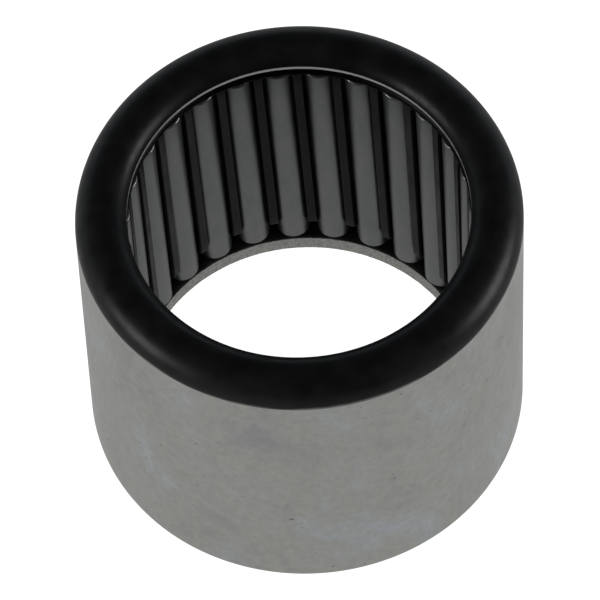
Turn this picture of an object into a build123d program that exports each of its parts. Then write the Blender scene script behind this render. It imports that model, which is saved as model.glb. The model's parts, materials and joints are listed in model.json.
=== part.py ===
"""Caged drawn-cup needle roller bearing, 28 x 37 x 30 mm, standing on its drawn end face.

Millimetres. +Z is the bearing axis, and the origin is on that axis at the lower face.
The outer cup is one drawn sheet-steel shell: a flat lip at the bottom, and at the top a
thinned lip that is curled over once the cage and its needles are in. The cage is a
formed sheet-steel ring with one pocket for each needle. The pockets, and the needles in
them, all lean a little round the ring. Sections are drawn as (radius, height) in the XZ
half-plane and revolved about Z.
"""
import os
from math import cos, radians, sin

from build123d import *

# ---- driving dimensions: bearing ----------------------------------------------------
OUTER_RADIUS = 18.5              # housing seat
HEIGHT = 30.0
ENVELOPE_RADIUS = 14.0           # circle inside the needles, for a 28 mm shaft
NEEDLE_COUNT = 27
NEEDLE_RADIUS = 1.5
NEEDLE_LENGTH = 25.0
NEEDLE_CORNER = 0.15             # flat ends with a small rounded edge
NEEDLE_MIDDLE = 14.9             # height of the middle of a needle
FIRST_NEEDLE_DEG = -3.5          # clockwise from +Y, at the middle of the needle
NEEDLE_LEAN_DEG = 2.0            # upper end anticlockwise, seen from above

# ---- driving dimensions: outer cup --------------------------------------------------
BASE_THICKNESS = 1.75
BASE_BORE_RADIUS = 14.25
BASE_OUTER_CORNER = 0.8
BASE_INNER_CORNER = 0.3
BASE_BORE_ROLLOVER = 0.3         # soft edge that the punch leaves on the lower face
BASE_BORE_BREAK = 0.08
CREST_RADIUS = 16.1              # highest circle of the curled lip
CURL_RADIUS = 2.07
CURL_DEG = 67.0                  # how far the lip curls past its crest
LIP_EDGE_HEIGHT = 0.5
LIP_THICKNESS = 0.9              # the wall is thinned before it is curled
THINNING_LENGTH = 0.45

# ---- driving dimensions: cage -------------------------------------------------------
CAGE_SHEET = 0.45
BAR_RADIUS = 14.15               # inner face of the bars and of the upper ring
WINDOW_WIDTH = 2.55              # less than a needle's diameter, so that it stays in
BAR_END_HEIGHT = 4.6             # where a bar turns outward, on its inner face
RIM_RADIUS = 16.2                # inner face of the lower rim, outside the pitch circle
RIM_TOP = 3.1                    # where the outward step meets the lower rim
LOWER_FLANGE_RADIUS = 15.2       # bore of the flange under the needles
UPPER_FLANGE_RADIUS = 16.3       # outside of the flange over the needles
CAGE_TOP = 28.05
MIDDLE_BEND = 0.375              # bends, at the middle of the sheet

# ---- clearances ---------------------------------------------------------------------
RUNNING_CLEARANCE = 0.02         # needle to raceway
POCKET_CLEARANCE = 0.05          # needle to its pocket, at its sides and at each end
SEAT_PLAY = 0.05                 # cage to lower lip

# ---- worked out from them -----------------------------------------------------------
PITCH_RADIUS = ENVELOPE_RADIUS + NEEDLE_RADIUS
RACEWAY_RADIUS = PITCH_RADIUS + NEEDLE_RADIUS + RUNNING_CLEARANCE
CAGE_BOTTOM = BASE_THICKNESS + SEAT_PLAY


def needle_turn(index):
    """Turn about Z that brings a needle drawn on the +Y side to its own place."""
    return Rot(0, 0, -(FIRST_NEEDLE_DEG + index * 360 / NEEDLE_COUNT))


def lower_lip():
    """Inner half of the flat drawn end: base face, punched bore and inside face."""
    face_start = (BASE_BORE_RADIUS + BASE_BORE_ROLLOVER, 0)
    bore_low = (BASE_BORE_RADIUS, BASE_BORE_ROLLOVER)
    bore_high = (BASE_BORE_RADIUS, BASE_THICKNESS - BASE_BORE_BREAK)
    inside_start = (BASE_BORE_RADIUS + BASE_BORE_BREAK, BASE_THICKNESS)
    inside_end = (RACEWAY_RADIUS - BASE_INNER_CORNER, BASE_THICKNESS)
    Line(face_start, (OUTER_RADIUS - BASE_OUTER_CORNER, 0))
    TangentArc(bore_low, face_start, tangent=(0, -1))
    Line(bore_low, bore_high)
    Line(bore_high, inside_start)
    Line(inside_start, inside_end)


def straight_wall():
    """Housing seat outside and raceway inside, each with the corner at its foot."""
    seat_foot = (OUTER_RADIUS - BASE_OUTER_CORNER, 0)
    seat_low = (OUTER_RADIUS, BASE_OUTER_CORNER)
    seat_high = (OUTER_RADIUS, HEIGHT - OUTER_RADIUS + CREST_RADIUS)
    raceway_foot = (RACEWAY_RADIUS - BASE_INNER_CORNER, BASE_THICKNESS)
    raceway_low = (RACEWAY_RADIUS, BASE_THICKNESS + BASE_INNER_CORNER)
    raceway_high = (RACEWAY_RADIUS, seat_high[1] - THINNING_LENGTH)
    TangentArc(seat_foot, seat_low, tangent=(1, 0))
    Line(seat_low, seat_high)
    TangentArc(raceway_foot, raceway_low, tangent=(1, 0))
    Line(raceway_low, raceway_high)
    Line(raceway_high, (OUTER_RADIUS - LIP_THICKNESS, seat_high[1]))


def curled_lip():
    """Thinned lip: over the crest, down to a blunt edge and back along its underside."""
    curl = radians(CURL_DEG)
    seat_high = (OUTER_RADIUS, HEIGHT - OUTER_RADIUS + CREST_RADIUS)
    crest = (CREST_RADIUS, HEIGHT)
    edge_radius = CREST_RADIUS - CURL_RADIUS * sin(curl)
    edge_high = (edge_radius, HEIGHT - CURL_RADIUS * (1 - cos(curl)))
    edge_low = (edge_radius, edge_high[1] - LIP_EDGE_HEIGHT)
    under_crest = (CREST_RADIUS, HEIGHT - LIP_THICKNESS)
    TangentArc(seat_high, crest, tangent=(0, 1))
    TangentArc(crest, edge_high, tangent=(-1, 0))
    Line(edge_high, edge_low)
    TangentArc(under_crest, edge_low, tangent=(-1, 0))
    TangentArc((OUTER_RADIUS - LIP_THICKNESS, seat_high[1]), under_crest, tangent=(0, 1))


def outer_cup():
    """Drawn cup: flat lip below, straight wall, curled lip above."""
    with BuildPart() as cup:
        with BuildSketch(Plane.XZ):
            with BuildLine():
                lower_lip()
                straight_wall()
                curled_lip()
            make_face()
        revolve(axis=Axis.Z)
    return cup.part


def cage_sheet_line():
    """Middle of the sheet: flange under the needles, rim, step inward, bar, upper flange."""
    half = CAGE_SHEET / 2
    return FilletPolyline(
        (LOWER_FLANGE_RADIUS, CAGE_BOTTOM + half),
        (RIM_RADIUS + half, CAGE_BOTTOM + half),
        (RIM_RADIUS + half, RIM_TOP),
        (BAR_RADIUS + half, BAR_END_HEIGHT),
        (BAR_RADIUS + half, CAGE_TOP - half),
        (UPPER_FLANGE_RADIUS, CAGE_TOP - half),
        radius=MIDDLE_BEND)


def cage_blank():
    """The formed ring before its pockets are punched."""
    with BuildPart() as blank:
        with BuildSketch(Plane.XZ):
            with BuildLine():
                cage_sheet_line()
            trace(line_width=CAGE_SHEET)
        revolve(axis=Axis.Z)
    return blank.part


def leaning_place():
    """Middle of the needle on the +Y side, leaning round the ring."""
    return Pos(0, PITCH_RADIUS, NEEDLE_MIDDLE) * Rot(0, -NEEDLE_LEAN_DEG, 0)


def pocket():
    """What one pocket takes out of the ring on the +Y side: needle bay and window."""
    length = NEEDLE_LENGTH + 2 * POCKET_CLEARANCE
    bay = Cylinder(NEEDLE_RADIUS + POCKET_CLEARANCE, length)
    window = Box(WINDOW_WIDTH, 4 * NEEDLE_RADIUS, length)
    return leaning_place() * (bay + window)


def cage():
    """Formed ring with a pocket for each needle."""
    cutter = pocket()
    return cage_blank() - [needle_turn(index) * cutter for index in range(NEEDLE_COUNT)]


def needle(index):
    """Needle roller with rounded end edges, in its pocket."""
    blank = Cylinder(NEEDLE_RADIUS, NEEDLE_LENGTH)
    roller = fillet(blank.edges().filter_by(GeomType.CIRCLE), NEEDLE_CORNER)
    return needle_turn(index) * leaning_place() * roller


def write(node, shape):
    """One STEP file for one named node."""
    export_step(shape, f"parts/{node}.step")


def main():
    os.makedirs("parts", exist_ok=True)
    write("outer_cup", outer_cup())
    write("cage", cage())
    for index in range(NEEDLE_COUNT):
        write(f"needle_{index + 1:02d}", needle(index))


main()
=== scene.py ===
"""Looks of the caged drawn-cup needle roller bearing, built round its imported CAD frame."""
import json
from math import acos, asin, ceil, cos, pi, radians, sin, sqrt, tan

import bmesh
import bpy
from mathutils import Matrix, Vector, noise


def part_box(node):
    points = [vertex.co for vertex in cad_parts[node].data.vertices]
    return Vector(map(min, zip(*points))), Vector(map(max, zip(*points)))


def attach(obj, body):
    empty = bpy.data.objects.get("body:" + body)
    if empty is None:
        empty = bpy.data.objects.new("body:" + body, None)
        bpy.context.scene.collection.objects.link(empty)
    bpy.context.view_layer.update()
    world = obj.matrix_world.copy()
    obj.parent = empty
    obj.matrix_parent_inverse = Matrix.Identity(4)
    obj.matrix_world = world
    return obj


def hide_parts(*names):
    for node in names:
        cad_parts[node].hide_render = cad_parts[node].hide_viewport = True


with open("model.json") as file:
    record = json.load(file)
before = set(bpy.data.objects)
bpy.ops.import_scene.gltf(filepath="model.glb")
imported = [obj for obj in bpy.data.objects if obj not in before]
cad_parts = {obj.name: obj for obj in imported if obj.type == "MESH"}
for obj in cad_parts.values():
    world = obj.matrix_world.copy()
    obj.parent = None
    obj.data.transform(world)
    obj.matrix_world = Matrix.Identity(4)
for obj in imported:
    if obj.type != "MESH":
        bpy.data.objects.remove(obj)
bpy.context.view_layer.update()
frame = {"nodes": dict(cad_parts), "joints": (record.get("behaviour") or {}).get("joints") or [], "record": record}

MM = 0.001
MOUNTS = {mount["name"]: mount for mount in frame["record"]["mounts"]}
JOINTS = {joint["name"]: joint for joint in frame["joints"]}
NEEDLES = sorted(node for node in frame["nodes"] if node.startswith("needle_"))

# ---- sizes from the frame, in metres ------------------------------------------------
OUTER_RADIUS = MOUNTS["housing_seat"]["dims"]["r_mm"] * MM
ENVELOPE_RADIUS = MOUNTS["needle_envelope"]["dims"]["r_mm"] * MM
BASE_BORE_RADIUS = MOUNTS["shaft_bore"]["dims"]["r_mm"] * MM
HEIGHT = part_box("outer_cup")[1].z
CAGE_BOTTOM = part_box("cage")[0].z
CAGE_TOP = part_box("cage")[1].z
RIM_BACK_RADIUS = max(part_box("cage")[1].xy)
NEEDLE_MIDDLES = [Vector(JOINTS[f"{node}_roll"]["pos_m"]) for node in NEEDLES]
NEEDLE_AXES = [Vector(JOINTS[f"{node}_roll"]["axis"]) for node in NEEDLES]
NEEDLE_LEAN = NEEDLE_AXES[0].angle(Vector((0, 0, 1)))
PITCH_RADIUS = NEEDLE_MIDDLES[0].xy.length
NEEDLE_RADIUS = PITCH_RADIUS - ENVELOPE_RADIUS

# ---- needles and clearances, as in the CAD ------------------------------------------
NEEDLE_LENGTH = 25.0 * MM
NEEDLE_CORNER = 0.15 * MM
RUNNING_CLEARANCE = 0.02 * MM    # needle to raceway
POCKET_CLEARANCE = 0.05 * MM     # needle to its pocket
SEAT_PLAY = 0.05 * MM            # cage to lower lip

# ---- sizes of the cup's sheet, as in the CAD ----------------------------------------
RACEWAY_RADIUS = PITCH_RADIUS + NEEDLE_RADIUS + RUNNING_CLEARANCE
BASE_THICKNESS = CAGE_BOTTOM - SEAT_PLAY
BASE_OUTER_CORNER = 0.8 * MM
BASE_INNER_CORNER = 0.3 * MM
BASE_ROLLOVER = 0.3 * MM
BASE_BREAK = 0.08 * MM
CREST_RADIUS = 16.1 * MM
CURL_RADIUS = 2.07 * MM
CURL_ANGLE = radians(67)
LIP_EDGE_HEIGHT = 0.5 * MM
LIP_THICKNESS = 0.9 * MM
THINNING_LENGTH = 0.45 * MM

# ---- sizes of the cage's sheet, as in the CAD ---------------------------------------
CAGE_SHEET = 0.45 * MM
BAR_RADIUS = 14.15 * MM
BAR_END_HEIGHT = 4.6 * MM
RIM_TOP = 3.1 * MM
LOWER_FLANGE_RADIUS = 15.2 * MM
UPPER_FLANGE_RADIUS = 16.3 * MM
CAGE_BEND = 0.375 * MM           # at the middle of the sheet
WINDOW_WIDTH = 2.55 * MM

# ---- details and fineness that only the visual meshes have --------------------------
LIP_EDGE_BREAK = 0.09 * MM       # small bevel on the curled lip's blunt edge
CURL_STOP_DEG = 3                # how far short of that edge the lip's upper arc ends
UNDERSIDE_STOP_DEG = 4           # how far short of it the arc under the lip starts
SHEARED_DEPTH = 0.035 * MM       # roughness of the punched edge of the base's bore
PUNCHED_EDGE_BEVEL = 0.04 * MM   # on the cage's edges
PUNCHED_EDGE_DEG = 50            # bends sharper than this are edges
CUP_ROUND_STEPS = 600
NEEDLE_ROUND_STEPS = 72
WINDOW_STEPS = 6                 # across each pocket of the cage
BAR_STEPS = 4                    # across each bar of the cage
CAGE_ROW_SPACING = 1.5 * MM      # most that one row spans along the sheet
CAGE_RADIAL_SPACING = 0.15 * MM  # most that one row moves outward, so that it clears needles

# ---- black border of the lip, below the top of the cup ------------------------------
BORDER_END = 2.9 * MM            # bare steel from here down
BORDER_START = 2.15 * MM         # black from here up
BORDER_WAVER = 0.12 * MM
LIP_IOR = 1.25                   # low, for a dull black film

# ---- studio, in metres and watts ----------------------------------------------------
FLOOR_HALF_WIDTH = 3
FLOOR_GAP = 0.02 * MM            # keeps the floor off the base's own face
FLOOR_GLOW = 0.34                # as it lights the bearing
FLOOR_GLOW_IN_VIEW = 1.1         # as it is seen directly
SOFTBOX_SIZE = 0.3
SOFTBOX_POWER = 1.8
SOFTBOX_AIM = (0, 0, 0.01)


# ---- outlines, as lists of (radius, height) -----------------------------------------
def line(start, end, steps=1):
    """Points from start towards end, without end."""
    a = Vector(start)
    b = Vector(end)
    return [a.lerp(b, step / steps) for step in range(steps)]


def arc(centre, radius, start_deg, end_deg, steps):
    """Points round a centre from one angle to another, both ends included."""
    middle = Vector(centre)
    points = []
    for step in range(steps + 1):
        angle = radians(start_deg + (end_deg - start_deg) * step / steps)
        points.append(middle + radius * Vector((cos(angle), sin(angle))))
    return points


def rounded(corners, radius, steps):
    """An open path through corners, with an arc of one radius at each inner corner.

    Each arc's points are weighted sums of its two radii, from its centre to its ends.
    """
    path = [Vector(corners[0])]
    for before, corner, after in zip(corners, corners[1:], corners[2:]):
        middle = Vector(corner)
        back = (Vector(before) - middle).normalized()
        ahead = (Vector(after) - middle).normalized()
        half = acos(max(-1, min(1, back.dot(ahead)))) / 2
        centre = middle + (back + ahead).normalized() * radius / sin(half)
        first = middle + back * radius / tan(half) - centre
        last = middle + ahead * radius / tan(half) - centre
        turn = pi - 2 * half
        for step in range(steps + 1):
            share = step / steps
            weight_first = sin((1 - share) * turn) / sin(turn)
            weight_last = sin(share * turn) / sin(turn)
            path.append(centre + first * weight_first + last * weight_last)
    path.append(Vector(corners[-1]))
    return path


def cup_outline():
    """The cup's closed outline by zone, from the base's bore out, over the lip and back."""
    seat_top = HEIGHT - OUTER_RADIUS + CREST_RADIUS
    crest_arc = OUTER_RADIUS - CREST_RADIUS
    curl_end = 90 + CURL_ANGLE * 180 / pi
    edge_radius = CREST_RADIUS - CURL_RADIUS * sin(CURL_ANGLE)
    edge_high = HEIGHT - CURL_RADIUS * (1 - cos(CURL_ANGLE))
    edge_low = edge_high - LIP_EDGE_HEIGHT
    thin_radius = OUTER_RADIUS - LIP_THICKNESS
    under_crest = HEIGHT - LIP_THICKNESS
    drop = under_crest - edge_low
    reach = CREST_RADIUS - edge_radius
    under_radius = (reach ** 2 + drop ** 2) / (2 * drop)
    under_turn = asin(reach / under_radius) * 180 / pi
    rollover_end = BASE_BORE_RADIUS + BASE_ROLLOVER
    corner_start = OUTER_RADIUS - BASE_OUTER_CORNER
    return [
        ("base_face", line((rollover_end, 0), (corner_start, 0), 10)),
        ("wall", arc((corner_start, BASE_OUTER_CORNER), BASE_OUTER_CORNER, -90, 0, 8)[:-1]),
        ("wall", line((OUTER_RADIUS, BASE_OUTER_CORNER), (OUTER_RADIUS, seat_top), 24)),
        ("lip", arc((CREST_RADIUS, seat_top), crest_arc, 0, 90, 22)[:-1]),
        ("lip", arc((CREST_RADIUS, HEIGHT - CURL_RADIUS), CURL_RADIUS,
                    90, curl_end - CURL_STOP_DEG, 18)),
        ("lip_edge_painted_highlight", line((edge_radius, edge_high - LIP_EDGE_BREAK),
                          (edge_radius, edge_low + LIP_EDGE_BREAK), 3)),
        ("lip_edge_painted_highlight", line((edge_radius, edge_low + LIP_EDGE_BREAK),
                          (edge_radius + LIP_EDGE_BREAK, edge_low), 1)),
        ("underside", arc((CREST_RADIUS, under_crest - under_radius), under_radius,
                          90 + under_turn - UNDERSIDE_STOP_DEG, 90, 12)[:-1]),
        ("underside", arc((CREST_RADIUS, seat_top), crest_arc - LIP_THICKNESS, 90, 0, 10)[:-1]),
        ("underside", line((thin_radius, seat_top),
                           (RACEWAY_RADIUS, seat_top - THINNING_LENGTH), 2)),
        ("raceway", line((RACEWAY_RADIUS, seat_top - THINNING_LENGTH),
                         (RACEWAY_RADIUS, BASE_THICKNESS + BASE_INNER_CORNER), 12)),
        ("raceway", arc((RACEWAY_RADIUS - BASE_INNER_CORNER, BASE_THICKNESS + BASE_INNER_CORNER),
                        BASE_INNER_CORNER, 0, -90, 5)[:-1]),
        ("raceway", line((RACEWAY_RADIUS - BASE_INNER_CORNER, BASE_THICKNESS),
                         (BASE_BORE_RADIUS + BASE_BREAK, BASE_THICKNESS), 6)),
        ("sheared_edge", arc((BASE_BORE_RADIUS + BASE_BREAK, BASE_THICKNESS - BASE_BREAK),
                             BASE_BREAK, 90, 180, 3)[:-1]),
        ("sheared_edge", line((BASE_BORE_RADIUS, BASE_THICKNESS - BASE_BREAK),
                              (BASE_BORE_RADIUS, BASE_ROLLOVER), 12)),
        ("sheared_edge", arc((rollover_end, BASE_ROLLOVER), BASE_ROLLOVER, 180, 270, 5)[:-1]),
    ]


def needle_outline():
    """Half outline of a needle about its middle, from its lower end to its upper end."""
    end = NEEDLE_LENGTH / 2
    flat = NEEDLE_RADIUS - NEEDLE_CORNER
    low = arc((flat, NEEDLE_CORNER - end), NEEDLE_CORNER, -90, 0, 6)
    high = arc((flat, end - NEEDLE_CORNER), NEEDLE_CORNER, 0, 90, 6)
    side = line(low[-1], high[0], 8)
    lower_end = line((0, -end), low[0], 3)
    upper_end = line((0, end), high[-1], 3)
    return lower_end + low + side[1:] + high + upper_end[::-1]


def cage_path():
    """Middle of the cage's sheet: flange under the needles, rim, step, bar, upper flange."""
    half = CAGE_SHEET / 2
    rim = RIM_BACK_RADIUS - half
    bar = BAR_RADIUS + half
    low = CAGE_BOTTOM + half
    high = CAGE_TOP - half
    corners = [(LOWER_FLANGE_RADIUS, low), (rim, low), (rim, RIM_TOP), (bar, BAR_END_HEIGHT),
               (bar, high), (UPPER_FLANGE_RADIUS, high)]
    bent = rounded(corners, CAGE_BEND, 5)
    path = []
    for point, after in zip(bent, bent[1:]):
        along = (after - point).length / CAGE_ROW_SPACING
        outward = abs(after.x - point.x) / CAGE_RADIAL_SPACING
        path += line(point, after, ceil(max(along, outward, 1)))
    return path + [bent[-1]]


def cage_faces():
    """The sheet's face towards the bore and its face towards the raceway."""
    path = cage_path()
    bore_side = []
    raceway_side = []
    for index, point in enumerate(path):
        before = path[max(index - 1, 0)]
        after = path[min(index + 1, len(path) - 1)]
        along = (point - before).normalized() + (after - point).normalized()
        away = Vector((along.y, -along.x)).normalized() * CAGE_SHEET / 2
        bore_side.append(point - away)
        raceway_side.append(point + away)
    return path, bore_side, raceway_side


# ---- meshes -------------------------------------------------------------------------
def linked(name, bm, materials):
    """A new smooth-shaded object in the scene from a bmesh."""
    for face in bm.faces:
        face.smooth = True
    mesh = bpy.data.meshes.new(name)
    bm.to_mesh(mesh)
    bm.free()
    piece = bpy.data.objects.new(name, mesh)
    bpy.context.scene.collection.objects.link(piece)
    for material in materials:
        mesh.materials.append(material)
    return piece


def spun(radius, height, turn):
    """A point of an outline, turned about the axis from +Y towards +X."""
    return Vector((radius * sin(turn), radius * cos(turn), height))


def sheared(point, amount):
    """Torn surface of a punched edge: ridges that run through the sheet, and tear-out."""
    turn = Vector((point.x, point.y, 0)).normalized()
    ridges = noise.noise(Vector((turn.x * 90, turn.y * 90, point.z * 300)))
    tears = noise.noise(Vector((turn.x * 26, turn.y * 26, point.z * 900 + 5)))
    return point + turn * amount * (0.6 * ridges + 0.4 * tears)


def cup_mesh(materials):
    """The drawn cup: its outline spun about the axis, with one material for each zone."""
    zones = [(zone, point) for zone, points in cup_outline() for point in points]
    order = list(materials)
    bm = bmesh.new()
    rings = []
    for zone, point in zones:
        ring = []
        for step in range(CUP_ROUND_STEPS):
            place = spun(point.x, point.y, 2 * pi * step / CUP_ROUND_STEPS)
            if zone == "sheared_edge":
                place = sheared(place, SHEARED_DEPTH)
            ring.append(bm.verts.new(place))
        rings.append(ring)
    count = len(zones)
    for index, (zone, _) in enumerate(zones):
        ring = rings[index]
        after = rings[(index + 1) % count]
        for step in range(CUP_ROUND_STEPS):
            beside = (step + 1) % CUP_ROUND_STEPS
            face = bm.faces.new((ring[step], ring[beside], after[beside], after[step]))
            face.material_index = order.index(zone)
    bmesh.ops.recalc_face_normals(bm, faces=bm.faces)
    return linked("cup_shell", bm, materials.values())


def needle_mesh(name, middle, axis, material, steps=NEEDLE_ROUND_STEPS):
    """A needle roller with rounded end edges about its own leaning axis."""
    lean = Vector((0, 0, 1)).rotation_difference(axis)
    outline = needle_outline()
    bm = bmesh.new()
    rings = []
    for point in outline[1:-1]:
        ring = []
        for step in range(steps):
            turn = 2 * pi * step / steps
            place = Vector((point.x * cos(turn), point.x * sin(turn), point.y))
            ring.append(bm.verts.new(middle + lean @ place))
        rings.append(ring)
    for ring, after in zip(rings, rings[1:]):
        for step in range(steps):
            beside = (step + 1) % steps
            bm.faces.new((ring[step], ring[beside], after[beside], after[step]))
    for ring, end in ((rings[0], outline[0]), (rings[-1], outline[-1])):
        tip = bm.verts.new(middle + lean @ Vector((0, 0, end.y)))
        for step in range(steps):
            bm.faces.new((ring[step], ring[(step + 1) % steps], tip))
    bmesh.ops.recalc_face_normals(bm, faces=bm.faces)
    return linked(name, bm, [material])


def pocket_span(radius, height):
    """Where a pocket starts and ends round the ring, as turns from its needle's middle.

    A pocket is as wide as its window, or as its needle bay where that is wider: there the
    circle of the sheet meets the circle of the bay. The lean shifts it with height.
    """
    bay = NEEDLE_RADIUS + POCKET_CLEARANCE
    meeting = (radius ** 2 + PITCH_RADIUS ** 2 - bay ** 2) / (2 * PITCH_RADIUS)
    bay_half_width = sqrt(max(0, radius ** 2 - meeting ** 2))
    half_width = max(WINDOW_WIDTH / 2, bay_half_width)
    shift = (NEEDLE_MIDDLES[0].z - height) * tan(NEEDLE_LEAN)
    return asin((shift - half_width) / radius), asin((shift + half_width) / radius)


def cage_row(bm, point, turns):
    """Corners once round the ring: those across each pocket, then those across its bar."""
    start, end = pocket_span(point.x, point.y)
    bar = 2 * pi / len(turns) - (end - start)
    row = []
    for turn in turns:
        places = [turn + start + (end - start) * step / WINDOW_STEPS
                  for step in range(WINDOW_STEPS)]
        places += [turn + end + bar * step / BAR_STEPS for step in range(BAR_STEPS)]
        row += [bm.verts.new(spun(point.x, point.y, place)) for place in places]
    return row


def cage_mesh(material):
    """The formed ring: both faces of its sheet, open at each pocket, and all its edges."""
    path, bore_side, raceway_side = cage_faces()
    turns = [Vector((0, 1)).angle_signed(middle.xy) for middle in NEEDLE_MIDDLES]
    bm = bmesh.new()
    inner = [cage_row(bm, point, turns) for point in bore_side]
    outer = [cage_row(bm, point, turns) for point in raceway_side]
    total = len(inner[0])
    pocket_low = CAGE_BOTTOM + CAGE_SHEET
    pocket_high = CAGE_TOP - CAGE_SHEET / 2 - CAGE_BEND

    def solid(index, step):
        """Whether there is sheet between two rows, past one step round the ring."""
        if not 0 <= index < len(path) - 1:
            return False
        height = (path[index].y + path[index + 1].y) / 2
        in_pocket = step % (WINDOW_STEPS + BAR_STEPS) < WINDOW_STEPS
        return not (in_pocket and pocket_low < height < pocket_high)

    def wall(first, second):
        """An edge of the sheet: a face that joins its two sides between two corners."""
        (row, step), (after, beside) = first, second
        bm.faces.new((inner[row][step], inner[after][beside],
                      outer[after][beside], outer[row][step]))

    for index in range(len(path) - 1):
        for step in range(total):
            if not solid(index, step):
                continue
            beside = (step + 1) % total
            for rows in (inner, outer):
                bm.faces.new((rows[index][step], rows[index][beside],
                              rows[index + 1][beside], rows[index + 1][step]))
            if not solid(index, (step - 1) % total):
                wall((index, step), (index + 1, step))
            if not solid(index, beside):
                wall((index, beside), (index + 1, beside))
            if not solid(index - 1, step):
                wall((index, step), (index, beside))
            if not solid(index + 1, step):
                wall((index + 1, step), (index + 1, beside))
    loose = [vert for vert in bm.verts if not vert.link_faces]
    bmesh.ops.delete(bm, geom=loose, context="VERTS")
    bmesh.ops.recalc_face_normals(bm, faces=bm.faces)
    piece = linked("cage_ring", bm, [material])
    edges = piece.modifiers.new("punched_edges", "BEVEL")
    edges.width = PUNCHED_EDGE_BEVEL
    edges.segments = 2
    edges.limit_method = "ANGLE"
    edges.angle_limit = radians(PUNCHED_EDGE_DEG)
    piece.modifiers.new("normals", "WEIGHTED_NORMAL")
    return piece


# ---- materials ----------------------------------------------------------------------
def new_material(name, base_color, metallic, roughness):
    """A metal and its Principled shader. Patterns may later take over its plain values."""
    material = bpy.data.materials.new(name)
    material.use_nodes = True
    nodes = material.node_tree.nodes
    shader = nodes["Principled BSDF"]
    shader.inputs["Base Color"].default_value = (*base_color, 1)
    shader.inputs["Metallic"].default_value = metallic
    shader.inputs["Roughness"].default_value = roughness
    return material, shader


class Graph:
    """Short calls for the nodes of one material."""

    def __init__(self, material):
        self.tree = material.node_tree
        self.object_place = self.add("ShaderNodeTexCoord").outputs["Object"]

    def add(self, kind, **settings):
        """A new node with some of its settings changed."""
        node = self.tree.nodes.new(kind)
        for key, value in settings.items():
            setattr(node, key, value)
        return node

    def join(self, output, socket):
        """A link from an output to an input."""
        self.tree.links.new(output, socket)

    def noise(self, scale, detail=3, roughness=0.5, distortion=0):
        """Noise with features about 1/scale metres long, for a scale along each axis."""
        mapping = self.add("ShaderNodeMapping")
        mapping.inputs["Scale"].default_value = scale
        self.join(self.object_place, mapping.inputs["Vector"])
        texture = self.add("ShaderNodeTexNoise")
        texture.inputs["Scale"].default_value = 1
        texture.inputs["Detail"].default_value = detail
        texture.inputs["Roughness"].default_value = roughness
        texture.inputs["Distortion"].default_value = distortion
        self.join(mapping.outputs["Vector"], texture.inputs["Vector"])
        return texture.outputs["Fac"]

    def ramp(self, factor, *stops):
        """Colours or greys along a factor: stops are (position, colour)."""
        node = self.add("ShaderNodeValToRGB")
        elements = node.color_ramp.elements
        while len(elements) < len(stops):
            elements.new(0.5)
        for element, (position, colour) in zip(elements, stops):
            element.position = position
            element.color = (*colour, 1) if len(colour) == 3 else (colour[0],) * 3 + (1,)
        self.join(factor, node.inputs["Fac"])
        return node.outputs["Color"]

    def height(self):
        """Height above the lower face, in metres."""
        parts = self.add("ShaderNodeSeparateXYZ")
        self.join(self.object_place, parts.inputs["Vector"])
        return parts.outputs["Z"]

    def rescale(self, value, low, high, new_low=0.0, new_high=1.0):
        """A value moved from one range to another, and held inside it."""
        node = self.add("ShaderNodeMapRange")
        node.inputs["From Min"].default_value = low
        node.inputs["From Max"].default_value = high
        node.inputs["To Min"].default_value = new_low
        node.inputs["To Max"].default_value = new_high
        self.join(value, node.inputs["Value"])
        return node.outputs["Result"]

    def math(self, operation, first, second):
        """One sum of two values, each a number or an output."""
        node = self.add("ShaderNodeMath", operation=operation)
        for socket, value in zip(node.inputs, (first, second)):
            if isinstance(value, (int, float)):
                socket.default_value = value
            else:
                self.join(value, socket)
        return node.outputs["Value"]

    def mix(self, factor, first, second, mode="MIX"):
        """Two colours, each given plainly or as an output, mixed by a factor."""
        node = self.add("ShaderNodeMix", data_type="RGBA", blend_type=mode)
        colours = [socket for socket in node.inputs if socket.type == "RGBA"]
        if isinstance(factor, (int, float)):
            node.inputs["Factor"].default_value = factor
        else:
            self.join(factor, node.inputs["Factor"])
        for socket, value in zip(colours, (first, second)):
            if isinstance(value, tuple):
                socket.default_value = (*value, 1)
            else:
                self.join(value, socket)
        return [socket for socket in node.outputs if socket.type == "RGBA"][0]

    def bump(self, heights, shader):
        """Bumps from (factor, depth in metres) pairs, one on another."""
        below = None
        for factor, depth in heights:
            node = self.add("ShaderNodeBump")
            node.inputs["Distance"].default_value = depth
            self.join(factor, node.inputs["Height"])
            if below is not None:
                self.join(below, node.inputs["Normal"])
            below = node.outputs["Normal"]
        self.join(below, shader.inputs["Normal"])


def ground_wall():
    """Ground housing seat: fine lines round the wall, faint stains and small pits."""
    material, shader = new_material("ground_wall", (0.64, 0.64, 0.62), 1, 0.36)
    graph = Graph(material)
    stains = graph.noise((150, 150, 110), 6, 0.62, 0.8)
    tint = graph.ramp(stains, (0.3, (0.50, 0.50, 0.52)), (0.45, (0.60, 0.595, 0.56)),
                      (0.55, (0.61, 0.62, 0.59)), (0.7, (0.66, 0.69, 0.71)))
    speckle = graph.ramp(graph.noise((1300, 1300, 1300), 4, 0.65), (0.35, (0.88,)), (0.65, (1,)))
    mottled = graph.mix(1.0, tint, speckle, "MULTIPLY")
    pits = graph.ramp(graph.noise((2300, 2300, 2300), 1, 0.4), (0.18, (0.3,)), (0.24, (1,)))
    graph.join(graph.mix(1.0, mottled, pits, "MULTIPLY"), shader.inputs["Base Color"])
    graph.join(graph.rescale(stains, 0.3, 0.7, 0.30, 0.46), shader.inputs["Roughness"])
    lines = graph.noise((700, 700, 22000), 2, 0.6)
    graph.bump([(lines, 0.002 * MM), (pits, 0.01 * MM)], shader)
    return material


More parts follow.
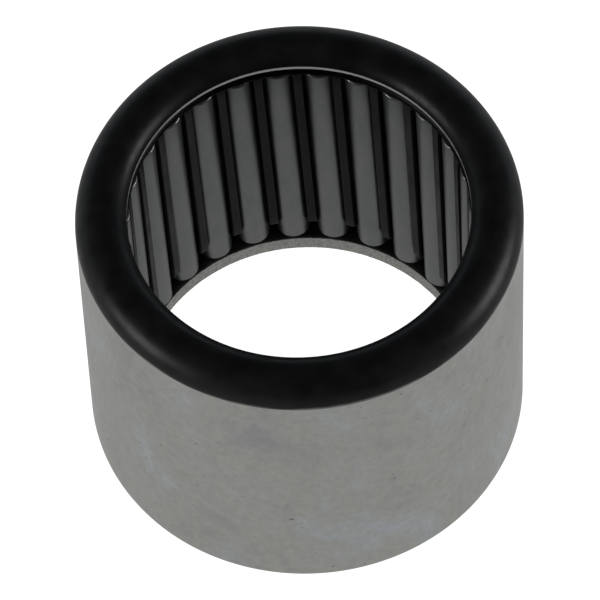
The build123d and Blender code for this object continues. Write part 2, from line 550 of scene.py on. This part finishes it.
def black_lip():
    """Lip blackened by annealing, with the ground wall coming out from under it."""
    material, shader = new_material("black_lip", (0.045, 0.045, 0.045), 0.2, 0.34)
    shader.inputs["IOR"].default_value = LIP_IOR
    graph = Graph(material)
    waver = graph.rescale(graph.noise((260, 260, 260), 2), 0.3, 0.7,
                          -BORDER_WAVER, BORDER_WAVER)
    edge = graph.math("ADD", graph.height(), waver)
    black = graph.rescale(edge, HEIGHT - BORDER_END, HEIGHT - BORDER_START)
    patches = graph.ramp(graph.noise((500, 500, 500), 4), (0.3, (0.012, 0.012, 0.013)),
                         (0.7, (0.024, 0.024, 0.023)))
    graph.join(graph.mix(black, (0.66, 0.65, 0.61), patches), shader.inputs["Base Color"])
    graph.join(graph.rescale(black, 0, 1, 1, 0.2), shader.inputs["Metallic"])
    graph.join(graph.rescale(graph.noise((900, 900, 900), 4), 0.3, 0.7, 0.3, 0.42),
               shader.inputs["Roughness"])
    graph.bump([(graph.noise((1500, 1500, 1500), 3), 0.006 * MM)], shader)
    return material


def bare_edge(name, low, high, grain_scale, depth):
    """Bare steel between two tones, with an uneven surface."""
    material, shader = new_material(name, high, 1, 0.4)
    graph = Graph(material)
    grain = graph.noise((grain_scale,) * 3, 4, 0.6)
    graph.join(graph.ramp(grain, (0.3, low), (0.7, high)), shader.inputs["Base Color"])
    graph.join(graph.rescale(grain, 0.3, 0.7, 0.35, 0.5), shader.inputs["Roughness"])
    graph.bump([(grain, depth)], shader)
    return material


def needle_steel():
    """Satin ground needle: lines round the needle and a faint mottling."""
    material, shader = new_material("needle_steel", (0.26, 0.26, 0.26), 1, 0.3)
    graph = Graph(material)
    mottle = graph.noise((600, 600, 250), 4, 0.6)
    graph.join(graph.ramp(mottle, (0.3, (0.215, 0.225, 0.23)), (0.7, (0.29, 0.295, 0.285))),
               shader.inputs["Base Color"])
    graph.join(graph.rescale(mottle, 0.3, 0.7, 0.34, 0.42), shader.inputs["Roughness"])
    graph.bump([(graph.noise((500, 500, 25000), 2), 0.001 * MM)], shader)
    return material


def cage_steel():
    """Dark hardened sheet steel."""
    material, shader = new_material("cage_steel", (0.012, 0.012, 0.014), 0.9, 0.42)
    graph = Graph(material)
    patches = graph.noise((700, 700, 400), 4, 0.6)
    graph.join(graph.ramp(patches, (0.3, (0.004, 0.004, 0.006)), (0.7, (0.011, 0.011, 0.014))),
               shader.inputs["Base Color"])
    graph.join(graph.rescale(patches, 0.3, 0.7, 0.35, 0.5), shader.inputs["Roughness"])
    graph.bump([(graph.noise((2500, 2500, 2500), 3), 0.004 * MM)], shader)
    return material


# ---- studio -------------------------------------------------------------------------
def studio_floor():
    """A plain pale floor just under the bearing, clear when it is seen from below."""
    bm = bmesh.new()
    bmesh.ops.create_grid(bm, x_segments=8, y_segments=8, size=FLOOR_HALF_WIDTH)
    bmesh.ops.translate(bm, verts=bm.verts, vec=(0, 0, -FLOOR_GAP))
    material = bpy.data.materials.new("pale_floor")
    material.use_nodes = True
    tree = material.node_tree
    tree.nodes.clear()
    output = tree.nodes.new("ShaderNodeOutputMaterial")
    both = tree.nodes.new("ShaderNodeAddShader")
    path = tree.nodes.new("ShaderNodeLightPath")
    paper = tree.nodes.new("ShaderNodeBsdfDiffuse")
    paper.inputs["Color"].default_value = (0.3, 0.3, 0.3, 1)
    backlight = tree.nodes.new("ShaderNodeEmission")
    strength = tree.nodes.new("ShaderNodeMapRange")
    strength.inputs["To Min"].default_value = FLOOR_GLOW
    strength.inputs["To Max"].default_value = FLOOR_GLOW_IN_VIEW
    tree.links.new(path.outputs["Is Camera Ray"], strength.inputs["Value"])
    tree.links.new(strength.outputs["Result"], backlight.inputs["Strength"])
    tree.links.new(paper.outputs["BSDF"], both.inputs[0])
    tree.links.new(backlight.outputs["Emission"], both.inputs[1])
    side = tree.nodes.new("ShaderNodeNewGeometry")
    clear = tree.nodes.new("ShaderNodeBsdfTransparent")
    shown = tree.nodes.new("ShaderNodeMixShader")
    tree.links.new(side.outputs["Backfacing"], shown.inputs["Fac"])
    tree.links.new(both.outputs["Shader"], shown.inputs[1])
    tree.links.new(clear.outputs["BSDF"], shown.inputs[2])
    tree.links.new(shown.outputs["Shader"], output.inputs["Surface"])
    floor = linked("floor", bm, [material])


def studio_world():
    """Dark surroundings with a low, slightly blue band of light behind the bearing."""
    world = bpy.data.worlds.new("studio")
    bpy.context.scene.world = world
    world.use_nodes = True
    tree = world.node_tree
    place = tree.nodes.new("ShaderNodeTexCoord")
    parts = tree.nodes.new("ShaderNodeSeparateXYZ")
    tree.links.new(place.outputs["Generated"], parts.inputs["Vector"])
    low = tree.nodes.new("ShaderNodeMapRange")
    low.inputs["From Min"].default_value = 0.0
    low.inputs["From Max"].default_value = 0.35
    low.inputs["To Min"].default_value = 1.0
    low.inputs["To Max"].default_value = 0.0
    tree.links.new(parts.outputs["Z"], low.inputs["Value"])
    behind = tree.nodes.new("ShaderNodeMapRange")
    behind.inputs["From Min"].default_value = -0.3
    behind.inputs["From Max"].default_value = 0.9
    tree.links.new(parts.outputs["Y"], behind.inputs["Value"])
    band = tree.nodes.new("ShaderNodeMath")
    band.operation = "MULTIPLY"
    tree.links.new(low.outputs["Result"], band.inputs[0])
    tree.links.new(behind.outputs["Result"], band.inputs[1])
    ramp = tree.nodes.new("ShaderNodeValToRGB")
    ramp.color_ramp.elements[0].color = (0.045, 0.045, 0.047, 1)
    ramp.color_ramp.elements[1].color = (0.8, 0.95, 1.05, 1)
    tree.links.new(band.outputs["Value"], ramp.inputs["Fac"])
    tree.links.new(ramp.outputs["Color"], tree.nodes["Background"].inputs["Color"])
    tree.nodes["Background"].inputs["Strength"].default_value = 1


def softbox(name, place, aim, size, power):
    """A square area light aimed at a point."""
    lamp = bpy.data.lights.new(name, "AREA")
    lamp.shape = "SQUARE"
    lamp.size = size
    lamp.energy = power
    light = bpy.data.objects.new(name, lamp)
    light.location = place
    light.rotation_euler = (Vector(aim) - Vector(place)).to_track_quat("-Z", "Y").to_euler()
    bpy.context.scene.collection.objects.link(light)


def camera():
    """The camera looks down into the bore, almost along +Y, slightly rolled."""
    elevation = radians(58.32)
    roll = radians(2.685)
    aim = Vector((-0.26 * MM, 0, 14.63 * MM))
    distance = 566.7 * MM
    away = Vector((0, -cos(elevation), sin(elevation)))
    lens = bpy.data.cameras.new("camera")
    lens.sensor_width = 36
    lens.lens = 404.6
    lens.clip_start = 0.01
    lens.clip_end = 50
    holder = bpy.data.objects.new("camera", lens)
    turned = (-away).to_track_quat("-Z", "Y").to_matrix().to_4x4()
    holder.matrix_world = Matrix.Translation(aim + away * distance) @ turned @ Matrix.Rotation(
        -roll, 4, "Z")
    bpy.context.scene.collection.objects.link(holder)
    bpy.context.scene.camera = holder


# ---- the bearing --------------------------------------------------------------------
def build():
    """Cup, cage and needles, each riding its own body in place of its CAD node."""
    steel = needle_steel()
    cup = cup_mesh({
        "base_face": bare_edge("base_face", (0.31, 0.305, 0.30), (0.36, 0.355, 0.35), 900,
                               0.002 * MM),
        "wall": ground_wall(),
        "lip": black_lip(),
        # The lip's blunt edge is bare steel, and its two tones are set brighter than the cup's other steel as a
        # painted highlight, for the bright line of light along that edge.
        "lip_edge_painted_highlight": bare_edge("lip_edge_painted_highlight", (0.75, 0.75, 0.74), (0.92, 0.92, 0.9), 1800, 0.004 * MM),
        "underside": black_lip(),
        "raceway": bare_edge("raceway", (0.40, 0.40, 0.39), (0.46, 0.46, 0.45), 1200, 0.001 * MM),
        "sheared_edge": bare_edge("sheared_edge", (0.30, 0.30, 0.28), (0.70, 0.70, 0.67), 4000,
                                  0.02 * MM)})
    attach(cup, "cup")
    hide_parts("outer_cup")
    cage = cage_mesh(cage_steel())
    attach(cage, "cage")
    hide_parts("cage")
    for node, middle, axis in zip(NEEDLES, NEEDLE_MIDDLES, NEEDLE_AXES):
        roller = needle_mesh(f"{node}_ground", middle, axis, steel)
        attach(roller, node)
        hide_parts(node)


build()
studio_floor()
studio_world()
softbox("left_softbox", (-0.6, -0.2, 0.12), SOFTBOX_AIM, SOFTBOX_SIZE, SOFTBOX_POWER)
softbox("right_softbox", (0.6, 0.0, 0.12), SOFTBOX_AIM, SOFTBOX_SIZE, SOFTBOX_POWER)
camera()
bpy.context.scene.view_settings.view_transform = "Standard"
